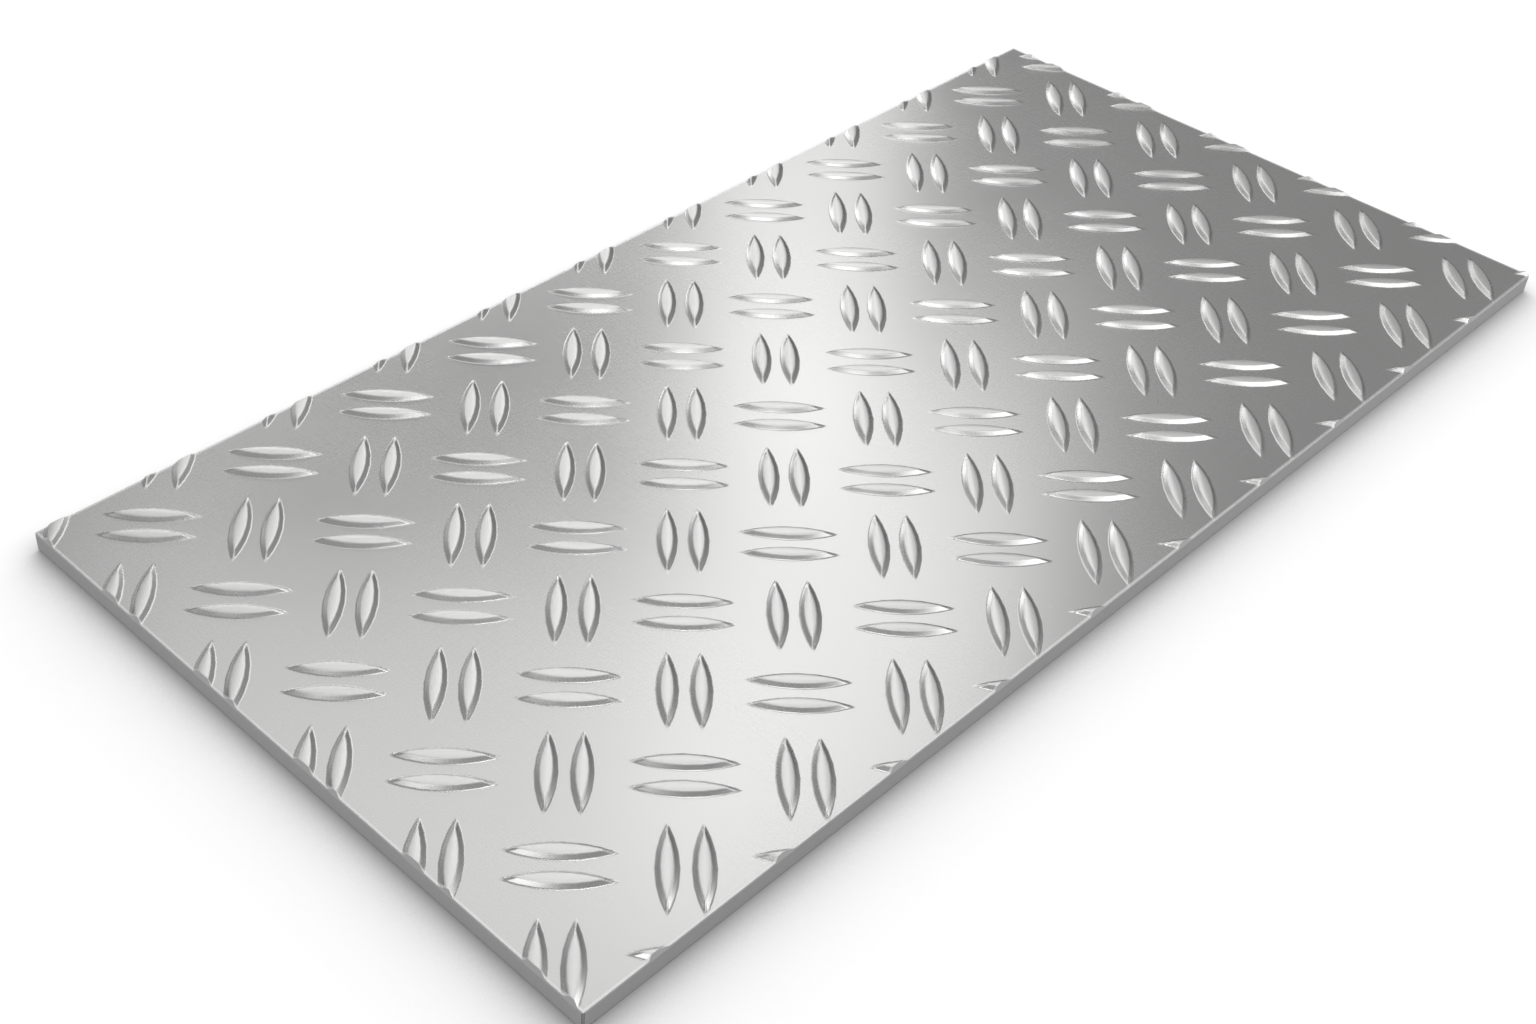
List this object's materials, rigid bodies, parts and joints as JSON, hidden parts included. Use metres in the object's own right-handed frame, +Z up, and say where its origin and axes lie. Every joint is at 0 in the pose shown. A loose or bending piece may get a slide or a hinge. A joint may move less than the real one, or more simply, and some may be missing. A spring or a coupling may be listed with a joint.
{
  "type": "aluminum checker plate",
  "caption": "Flat rectangular rolled metal plate with pairs of raised lens-shaped bars turned a quarter from pair to pair, cut flush through the bars at its edges.",
  "frame": {"origin": "centre of the flat underside", "axes": "+X along the long edge, +Y along the short edge, +Z up out of the face that carries the raised bars"},
  "size_m": [0.5, 0.25, 0.0082],
  "materials": {
    "aluminum": "satin mill finish, finely scratched along the length"
  },
  "bodies": {
    "root": {"checker_plate": "aluminum"}
  },
  "joints": []
}
